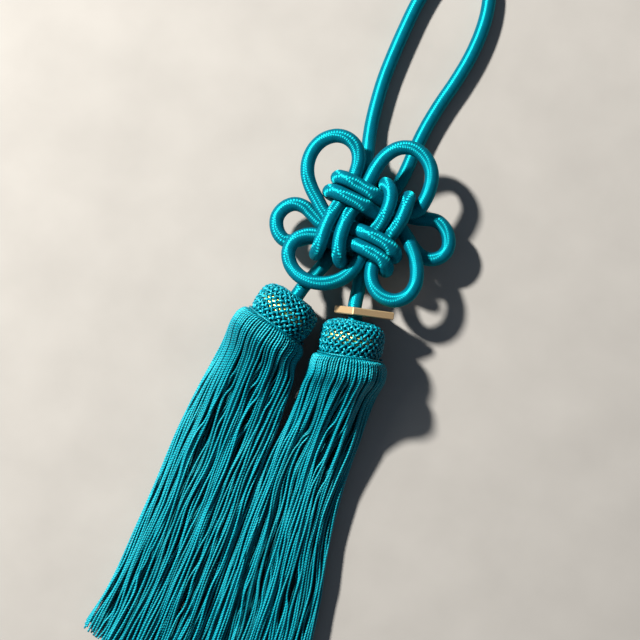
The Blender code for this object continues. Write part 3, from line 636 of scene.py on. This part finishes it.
def gold_lurex_thread():
    """Gold lurex: a flat metallised strip twisted into the thread, so it glints in short facets. The facets
    are painted in a paler and a deeper gold, as painted glints, besides those that the bump gives.
    """
    material, tree = new_material("gold_lurex_thread")
    uv = add_node(tree, "ShaderNodeUVMap", {"uv_map": "along"})
    facets = add_node(tree, "ShaderNodeTexVoronoi", {}, {"Vector": uv, "Scale": 2.2})
    # Painted glints: the facets take a paler or a deeper gold.
    colour = add_node(tree, "ShaderNodeMix", {"data_type": "RGBA"},
                      {0: facets, MIX_FIRST: linear("#FFF2A0"), MIX_SECOND: linear("#EBD256")})
    bump = add_node(tree, "ShaderNodeBump", {}, {"Height": facets, "Distance": 0.2 * MM, "Strength": 0.8})
    add_surface(tree, {"Base Color": colour.outputs[MIX_RESULT], "Metallic": 1.0, "Roughness": 0.42,
                       "Normal": bump})
    return material


# The net and the bindings are of mercerised cotton, tightly twisted, so it shines a little.
# The first colour is the painted shade in the groove between the plies.
net_cord = two_ply("mercerised_net_cord", NET_TWIST, "#012D3A", "#047C90", 0.34)
mould_yarn = yarn_covered_mould()
lurex = gold_lurex_thread()

for seed, side in enumerate(HEADS):
    # The mould, closed over the top and the bottom of its profile.
    profile = drum_profile(MOULD_INSET)
    profile = np.vstack([[0.0, profile[0, 1]], profile, [0.0, profile[-1, 1]]])
    down = lengths_along(profile)
    even = np.linspace(MOULD_OPENING, down[-1] - MOULD_OPENING, MOULD_RINGS)
    radius, height = np.interp(even, down, profile[:, 0]), np.interp(even, down, profile[:, 1])
    turn = -2 * math.pi * np.arange(MOULD_SIDES) / MOULD_SIDES
    points = on_drum(side, radius[:, None], turn, height[:, None])
    mould = add_mesh("head_" + side + "_mould", to_part(points.reshape(-1, 3)),
                     tube_faces(1, MOULD_RINGS, MOULD_SIDES), mould_yarn, tube_uv(even[None], MOULD_SIDES))
    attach(mould, "root")
    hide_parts("head_" + side)

    # The gold thread, wound a few turns round the middle and following its bulge.
    turn = np.arange(0, 2 * math.pi * GOLD_TURNS, GOLD_STEP)[None]
    level = (turn / (2 * math.pi) - GOLD_TURNS / 2) * GOLD_SPACING * GOLD_THREAD
    radius = HEAD_RADIUS - NET_INSET - GOLD_UNDER_NET * NET_PLY - GOLD_BULGE * level ** 2
    coiled("head_" + side + "_gold", side, turn, radius, level, GOLD_LENGTH, GOLD_THREAD, GOLD_SWELL,
           GOLD_TWIST, lurex, 1.0)

    # The net: both sets run down the drum and round it alike, each high where the other is low.
    profile = drum_profile(NET_INSET)
    down = lengths_along(profile)
    run = np.arange(NET_TOP, down[-1] - NET_FOOT, NET_STEP)
    slant = run / (HEAD_RADIUS - NET_INSET)
    step = 2 * math.pi / NET_THREADS
    weave = NET_RISE * np.cos(2 * math.pi * slant / step)
    paths, ways = [], []
    for way in (1, -1):
        turn = step * np.arange(NET_THREADS)[:, None] + way * slant[None]
        radius = np.interp(run, down, profile[:, 0]) + way * weave
        paths.append(on_drum(side, radius, turn, np.interp(run, down, profile[:, 1])))
        ways.append(on_drum(side, 1.0, turn + math.pi / 2, 0.0) - tassel_axes(side)[0])
    paths, ways = np.concatenate(paths), np.concatenate(ways)
    shades = np.random.default_rng(NET_SEED + seed)
    net = twisted("head_" + side + "_net", paths, np.broadcast_to(run, paths.shape[:2]), ways, NET_PLY,
                  NET_SWELL, NET_TWIST, shades.uniform(0, ANY_PHASE, len(paths)), THREAD_SIDES, net_cord,
                  shades.uniform(*NET_TONES, len(paths)))
    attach(net, "root")

    # A flat coil of net cord round the hole that the satin cord goes down.
    turn = np.arange(0, 2 * math.pi * COLLAR_TURNS, COLLAR_STEP)[None]
    coiled("head_" + side + "_collar", side, turn, COLLAR_RADIUS + COIL_SPACING * turn / (2 * math.pi),
           HEAD_HALF_LENGTH - COLLAR_DEPTH, COLLAR_LENGTH, COLLAR_PLY, NET_SWELL, NET_TWIST, net_cord, 1.0)

# ---------------------------------------------------------------- the skirts
# Two-ply rayon yarn folded over a ring and bound under each head, so it rounds a soft shoulder, falls
# to the table and spreads. Layers lie one in another, and the outer ones part and drift into clumps.
YARN_PLY = 0.44
YARN_TWIST = 2.5
YARN_RINGS = (80, 72, 58, 42)
YARN_LAYER = 1.1
FIRST_LAYER_GAP = 0.4
YARN_LOWEST = YARN_PLY * 1.3

# Rounding the shoulder: (below the head's middle, radius, drop for each inner layer).
SHOULDER = [(HEAD_HALF_LENGTH + 0.4, 8.6, 0.5), (HEAD_HALF_LENGTH + 0.3, 12.6, 0.7),
            (HEAD_HALF_LENGTH + 0.9, 15.0, 0.9), (HEAD_HALF_LENGTH + 3.0, 16.3, 0.8),
            (HEAD_HALF_LENGTH + 7.0, 16.6, 0.5)]

# Coming down to the table: (north, middle east, half width, height, share of the head's lean).
PILES = {
    "left": [(-72, -22.4, 17.8, 24.0, 0.5), (-90, -23.7, 19.4, 16.8, 0.15), (-110, -24.9, 20.6, 13.6, 0),
             (-135, -25.6, 21.2, 12.2, 0), (-160, -26.5, 22.1, 11.4, 0), (-185, -27.6, 23.0, 10.8, 0),
             (-209, -30.0, 24.8, 10.2, 0)],
    "right": [(-72, 15.3, 16.4, 24.0, 0.5), (-90, 14.9, 16.6, 16.8, 0.15), (-110, 13.7, 17.9, 13.8, 0),
              (-135, 14.8, 19.2, 12.4, 0), (-160, 17.2, 21.6, 11.5, 0), (-185, 18.9, 23.5, 10.9, 0),
              (-207, 19.5, 24.4, 10.4, 0)],
}

# The pile's section: its edges, dome and corners, then how finely it is worked out.
PILE_EDGE = 5.4
EDGE_SHARE = 0.6
INNER_EDGE = 0.72
DOME_SPREAD = 2.2
DOME_ROUND = 0.7
PILE_CORNER = 2.4
CORNER_LOSS = 0.7
LEAST_CORNER = 0.5
OUTLINE_POINTS = 241
OUTLINE_TURNS = 181
TANGENT_SHARE = 0.014

# The trimmed foot: shorter towards the flanks, and uneven yarn by yarn.
END_BOW = 3.6
TRIM_UNEVEN = 1.6

# The widest partings: (north at the top and foot, east at the top and foot, how far they open).
PARTINGS = {
    "left": [(-66, -110, -29.8, -28.4, 2.2), (-62, -98, -21.6, -19.8, 2.8), (-78, -122, -18.8, -17.2, 3.0),
             (-66, -96, -12.6, -11.4, 2.0), (-120, -214, -17.0, -15.2, 3.0), (-142, -172, -32.6, -31.4, 1.2),
             (-170, -194, -37.0, -40.0, 1.2), (-182, -214, -23.6, -25.0, 1.5)],
    "right": [(-62, -118, 16.4, 18.6, 2.9), (-68, -126, 20.6, 22.8, 3.0), (-74, -112, 25.4, 27.4, 2.4),
              (-76, -112, 8.0, 9.2, 2.4), (-96, -142, 29.2, 30.6, 1.6), (-132, -176, 31.0, 36.0, 1.5),
              (-150, -192, 6.0, 8.6, 2.0), (-178, -214, -3.8, -2.0, 1.6)],
}

# How a parting opens, pushes the yarns aside and lets them sink.
PARTING_POWER = 1.2
PARTING_PUSH = 0.4
PARTING_LIP = 0.35
PARTING_FADE = 5
PARTING_SINK = 0.5
DEEPEST_SINK = 1.6
SINK_REACH = 1.5

# Smaller partings strewn over the skirt, each size drawn between two values.
SMALL_PARTINGS = 22
SMALL_START = (-190, -60)
SMALL_LENGTH = (28, 64)
SMALL_PLACE = (-0.85, 0.85)
SMALL_DRIFT = (-1.5, 1.5)
SMALL_WIDTH = (0.5, 1.3)

# Slow waves over the whole skirt: (height, millimetres east and north for each radian).
CROWDING_WAVES = [(0.25, 1.9, 31), (0.4, 3.1, -43)]
LIFTING_WAVES = [(0.3, 2.7, 29), (0.25, 4.3, -41)]
WAVES_FROM = -56
WAVES_EASE = 20

# How single yarns leave their places: waves as (how far, over what length), places along the yarn as
# (from, over what length), and draws between two values.
WANDERS = [(0.45, 47), (0.08, 23)]
WANDERS_EASE = (14, 30)
RISE_AND_FALL = (0.18, 31)
UNEVEN_HEIGHT = 0.3
CLUMPING = 0.3
CLUMP_SIZES = (2, 5)
CLUMPS_EASE = (5, 12)
LOWER_CLUMPS = (50, 60)
OFF_PLACE = 0.15
STRAY_SHARE = 0.14
STRAY_START = (12, 100)
STRAY_LENGTH = (40, 75)
STRAY_SHIFT = (1.8, 4.6)
STRAY_LIFT = 0.85
STRAY_CLIMB = 5
LIGHTEST = 1.16
TONE_RANGE = 0.6
# Yarns below the outer layer are painted darker by this share, as the shade deep inside the skirt.
UNDER_LAYERS_PAINTED_SHADE = 0.62
TRIM_SEED, YARN_SEED, PARTING_SEED = 60, 80, 90

# The part of the two outer layers that shows, as shares of the way round from the right flank, a
# quarter being the top.
SHOWING_LAYERS = 2
SHOWING_TO, SHOWING_FROM = 0.56, 0.94

# How finely the yarns are worked out: (spacing along, sides, swell of the twist).
OUTER_YARN = (0.5, 6, 0.2)
SECOND_YARN = (1.2, 4, 0.0)
HIDDEN_YARN = (3.6, 4, 0.0)

BINDING_TURNS = 3
BINDING_RADIUS = 11.4
BINDING_PLY = 0.45
BINDING_DROP = 0.1
BINDING_RISE, BINDING_DISH = 0.9, 7
BINDING_LENGTH = 12.6
BINDING_STEP = 0.1
BINDING_TONE = 0.8


def ring_outline(half_width, height, inside, corner, inner_side):
    """An outline this far inside a flat-bottomed pile with a domed top, its corners rounded: top =
    edge + (height - edge) * (1 - (east / half width) ^ 2.2) ^ 0.7. It is taller on the inner side,
    where the other skirt holds it up, and runs from the top's middle left."""
    east = np.linspace(-half_width, half_width, OUTLINE_POINTS)
    leaning = np.clip(inner_side * east / half_width, 0, 1)
    edge = min(PILE_EDGE, EDGE_SHARE * height) * (1 - leaning) + INNER_EDGE * height * leaning
    top = edge + (height - edge) * (1 - np.abs(east / half_width) ** DOME_SPREAD) ** DOME_ROUND
    depth = inside + corner
    away = east[None, :] - east[:, None]
    below = top[None, :] - np.sqrt(np.maximum(0, depth ** 2 - away ** 2))
    inner = np.where(np.abs(away) <= depth, below, 1e9).min(axis=1)
    kept = (np.abs(east) <= half_width - depth) & (inner >= depth)
    core = np.concatenate([np.stack([east[kept], inner[kept]], axis=1),
                           np.stack([east[kept], 0 * east[kept] + depth], axis=1)])
    turn = np.linspace(0.5 * math.pi, 2.5 * math.pi, OUTLINE_TURNS)
    facing = np.stack([np.cos(turn), np.sin(turn)], axis=1)
    return core[(facing @ core.T).argmax(axis=1)] + corner * facing


def along_outline(outline, fractions):
    """Points and unit tangents at fractions of the length round an outline, a quarter being its top."""
    along = lengths_along(outline)

    def at(f):
        return np.stack([np.interp(f % 1 * along[-1], along, outline[:, k]) for k in range(2)], axis=1)

    fractions = fractions - 0.25
    tangents = at(fractions + TANGENT_SHARE) - at(fractions - TANGENT_SHARE)
    return at(fractions), tangents / np.linalg.norm(tangents, axis=1)[:, None]


def yarn_stations(side, layer, count, uneven):
    """Middles and sideways directions of one layer's yarns at each station, and how far along each
    station is. The first stations are rounds of the shoulder, the others outlines of the pile."""
    middle, across, up, axis = tassel_axes(side)
    share = (np.arange(count) + 0.5) / count
    depth = YARN_LAYER * layer + (FIRST_LAYER_GAP if layer else 0)
    turn = 2 * math.pi * share
    stations, ways = [], []
    for below, radius, drop in SHOULDER:
        wide = radius - depth
        high = min(radius, AXIS_HEIGHT - YARN_LOWEST) - depth
        stations.append(middle - axis * (below + drop * layer) + wide * np.cos(turn)[:, None] * across
                        + high * np.sin(turn)[:, None] * up)
        ways.append(-np.sin(turn)[:, None] * across + np.cos(turn)[:, None] * up)
    corner = max(LEAST_CORNER, PILE_CORNER - CORNER_LOSS * layer)
    inner_side = 1 if side == "left" else -1
    for north, east, half, height, kept_lean in PILES[side]:
        outline = ring_outline(half, height, YARN_LOWEST + depth, corner, inner_side)
        flat, tangent = along_outline(outline, share)
        reach = north - math.tan(HEADS[side][2] * kept_lean) * flat[:, 0]
        if north == PILES[side][-1][0]:
            reach = (reach + END_BOW * (flat[:, 0] / half) ** 2
                     + uneven.uniform(-TRIM_UNEVEN, TRIM_UNEVEN, count))
        stations.append(np.stack([east + flat[:, 0], reach, flat[:, 1]], axis=1))
        ways.append(np.stack([tangent[:, 0], 0 * share, tangent[:, 1]], axis=1))
    stations, ways = np.array(stations), np.array(ways)
    knots = np.concatenate([[0], np.cumsum(np.linalg.norm(np.diff(stations, axis=0), axis=2).mean(axis=1))])
    return stations, ways, knots


def all_partings(side, chance):
    """The widest partings and smaller ones strewn between them."""
    norths, easts, halves = np.array(PILES[side])[::-1, :3].T
    start = chance.uniform(*SMALL_START, SMALL_PARTINGS)
    length = chance.uniform(*SMALL_LENGTH, SMALL_PARTINGS)
    east = (np.interp(start - length / 2, norths, easts)
            + np.interp(start - length / 2, norths, halves) * chance.uniform(*SMALL_PLACE, SMALL_PARTINGS))
    drift = chance.uniform(*SMALL_DRIFT, SMALL_PARTINGS)
    small = np.stack([start, start - length, east - drift / 2, east + drift / 2,
                      chance.uniform(*SMALL_WIDTH, SMALL_PARTINGS)], axis=1)
    return np.concatenate([PARTINGS[side], small])


def eased(at, start, length):
    """0 up to a start, then straight up to 1 over a length."""
    return np.clip((at - start) / length, 0, 1)


def waves(east, north, rows):
    """The sum of each row's height * sine of (east / its east length + north / its north length)."""
    return sum(height * np.sin(east / wide + north / long) for height, wide, long in rows)


def combed(paths, ways, partings):
    """Paths pushed aside and down where the skirt parts. A parting opens and closes as a sine along its
    length. Beside it the yarns are pushed by a share of its width, less and less over 5 mm, and sink a
    little. Slow waves crowd and lift the yarns everywhere else."""
    east, north = paths[..., 0], paths[..., 1]
    on_top = np.clip(-ways[..., 0], 0, 1)
    calm = np.clip((WAVES_FROM - north) / WAVES_EASE, 0, 1) * on_top
    moved = calm * waves(east, north, CROWDING_WAVES)
    lifted = calm * waves(east, north, LIFTING_WAVES)
    for start, end, east_start, east_end, width in partings:
        t = np.clip((north - start) / (end - start), 0, 1)
        opened = on_top * np.sin(math.pi * t) ** PARTING_POWER
        away = east - (east_start + t * (east_end - east_start))
        moved += (opened * PARTING_PUSH * width * np.tanh(away / PARTING_LIP)
                  * np.exp(-np.abs(away) / PARTING_FADE))
        lifted -= opened * PARTING_SINK * min(width, DEEPEST_SINK) * np.exp(-(away / SINK_REACH) ** 2)
    return paths + np.stack([moved, 0 * moved, lifted], axis=-1)


def clumped(count, chance):
    """How many spacings each yarn lies from the middle of its clump of 2 to 4 neighbours."""
    ends = np.cumsum(chance.integers(*CLUMP_SIZES, count))
    clump = np.searchsorted(ends, np.arange(count), side="right")
    starts = np.concatenate([[0], ends])[clump]
    return (starts + ends[clump] - 1) / 2 - np.arange(count)


def yarns(name, stations, ways, knots, chosen, fineness, strays, partings, shade, shades):
    """The chosen yarns of a layer as one mesh. They draw together in clumps, and in other clumps lower
    down. Each wanders a little, and a share of them stray: they slant a few millimetres across their
    neighbours and lie on top from there on."""
    spacing, sides, swell = fineness
    at = np.linspace(0, knots[-1], int(knots[-1] / spacing))
    paths = smooth_through(knots, stations[:, chosen], at).transpose(1, 0, 2)
    ways = smooth_through(knots, ways[:, chosen], at).transpose(1, 0, 2)
    count = len(paths)
    wander = shades.uniform(0, 2 * math.pi, (3, count, 1))
    slow = sum(far * np.sin(2 * math.pi * at / over + wander[k]) for k, (far, over) in enumerate(WANDERS))
    aside = eased(at, *WANDERS_EASE)[None] * slow
    lower = eased(at, *LOWER_CLUMPS)[None]
    drawn = (1 - lower) * clumped(count, shades)[:, None] + lower * clumped(count, shades)[:, None]
    below_head = eased(at, *CLUMPS_EASE)[None]
    aside = aside + below_head * (CLUMPING * drawn + shades.uniform(-OFF_PLACE, OFF_PLACE, (count, 1)))
    first, length = shades.uniform(*STRAY_START, (count, 1)), shades.uniform(*STRAY_LENGTH, (count, 1))
    t = eased(at, first, length)
    stray = (shades.uniform(0, 1, (count, 1)) < strays) * shades.uniform(*STRAY_SHIFT, (count, 1))
    aside = aside + stray * shades.choice([-1, 1], (count, 1)) * t * t * (3 - 2 * t) * ways[..., 0] ** 2
    rise, over = RISE_AND_FALL
    height = shades.normal(0, UNEVEN_HEIGHT, (count, 1)) + rise * np.sin(2 * math.pi * at / over + wander[2])
    lift = below_head * height + (stray > 0) * STRAY_LIFT * np.clip(t * STRAY_CLIMB, 0, 1)
    paths = combed(paths + aside[:, :, None] * ways, ways, partings)
    paths[:, :, 2] = np.maximum(paths[:, :, 2] + lift, YARN_LOWEST)
    phase = shades.uniform(0, 2 * math.pi, count)
    tone = (LIGHTEST - TONE_RANGE * shades.uniform(0, 1, count) ** 2) * shade
    made = twisted(name, paths, lengths_along(paths), ways, YARN_PLY, swell, YARN_TWIST, phase, sides,
                   skirt_yarn, tone)
    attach(made, "root")
    return made


# Rayon yarn with a silky gloss on each ply.
# The first colour is the painted shade in the groove between the plies.
skirt_yarn = two_ply("two_ply_rayon_yarn", YARN_TWIST, "#013342", "#068193", 0.38)
for seed, side in enumerate(HEADS):
    uneven = np.random.default_rng(TRIM_SEED + seed)
    shades = np.random.default_rng(YARN_SEED + seed)
    partings = all_partings(side, np.random.default_rng(PARTING_SEED + seed))
    for layer, count in enumerate(YARN_RINGS):
        stations, ways, knots = yarn_stations(side, layer, count, uneven)
        share = (np.arange(count) + 0.5) / count
        showing = (share < SHOWING_TO) | (share > SHOWING_FROM) if layer < SHOWING_LAYERS else share < 0
        # Painted shade: every layer below the outer one is darker.
        shade = 1.0 if layer == 0 else UNDER_LAYERS_PAINTED_SHADE
        if showing.any():
            made = yarns(f"skirt_{side}_top_{layer + 1}", stations, ways, knots, showing,
                         OUTER_YARN if layer == 0 else SECOND_YARN, STRAY_SHARE if layer == 0 else 0.0,
                         partings, shade, shades)
            if layer == 0:
                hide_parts("skirt_" + side)
        yarns(f"skirt_{side}_under_{layer + 1}", stations, ways, knots, ~showing, HIDDEN_YARN, 0.0,
              partings, shade, shades)

    # The binding that holds the folded yarn: three turns of net cord, the outer ones nearer the head.
    turn = np.arange(0, 2 * math.pi * BINDING_TURNS, BINDING_STEP)[None]
    out = BINDING_RADIUS + COIL_SPACING * turn / (2 * math.pi)
    coiled("skirt_" + side + "_binding", side, turn, out,
           -HEAD_HALF_LENGTH - BINDING_DROP + BINDING_RISE * (out - BINDING_RADIUS) ** 2 / BINDING_DISH,
           BINDING_LENGTH, BINDING_PLY, NET_SWELL, NET_TWIST, net_cord, BINDING_TONE)

# ---------------------------------------------------------------- the plate
# A square of pale brass about three millimetres thick, its edges brushed and just broken, threaded on
# the right drop through a hole off its middle and resting on edge.
PLATE_TURN = -12.4
STROKES_A_METRE = (60, 3000, 3000)


def brushed_pale_brass():
    """Pale brass brushed along its edges: soft bright strokes about 17 mm long and 0.3 mm wide."""
    material, tree = new_material("brushed_pale_brass")
    where = add_node(tree, "ShaderNodeTexCoord")
    drawn = add_node(tree, "ShaderNodeMapping", {}, {
        0: where.outputs["Object"], "Rotation": (0, 0, math.radians(PLATE_TURN)), "Scale": STROKES_A_METRE})
    strokes = add_node(tree, "ShaderNodeTexNoise", {}, {"Vector": drawn, "Scale": 1.0, "Detail": 2.0})
    tone = add_node(tree, "ShaderNodeMix", {"data_type": "RGBA"},
                    {0: strokes, MIX_FIRST: linear("#A68C68"), MIX_SECOND: linear("#BBA27C")})
    rough = add_node(tree, "ShaderNodeMapRange", {}, {0: strokes, "To Min": 0.45, "To Max": 0.55})
    add_surface(tree, {"Base Color": tone.outputs[MIX_RESULT], "Metallic": 0.55, "Roughness": rough})
    return material


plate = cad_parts["plate"]
plate.data.materials.clear()
plate.data.materials.append(brushed_pale_brass())
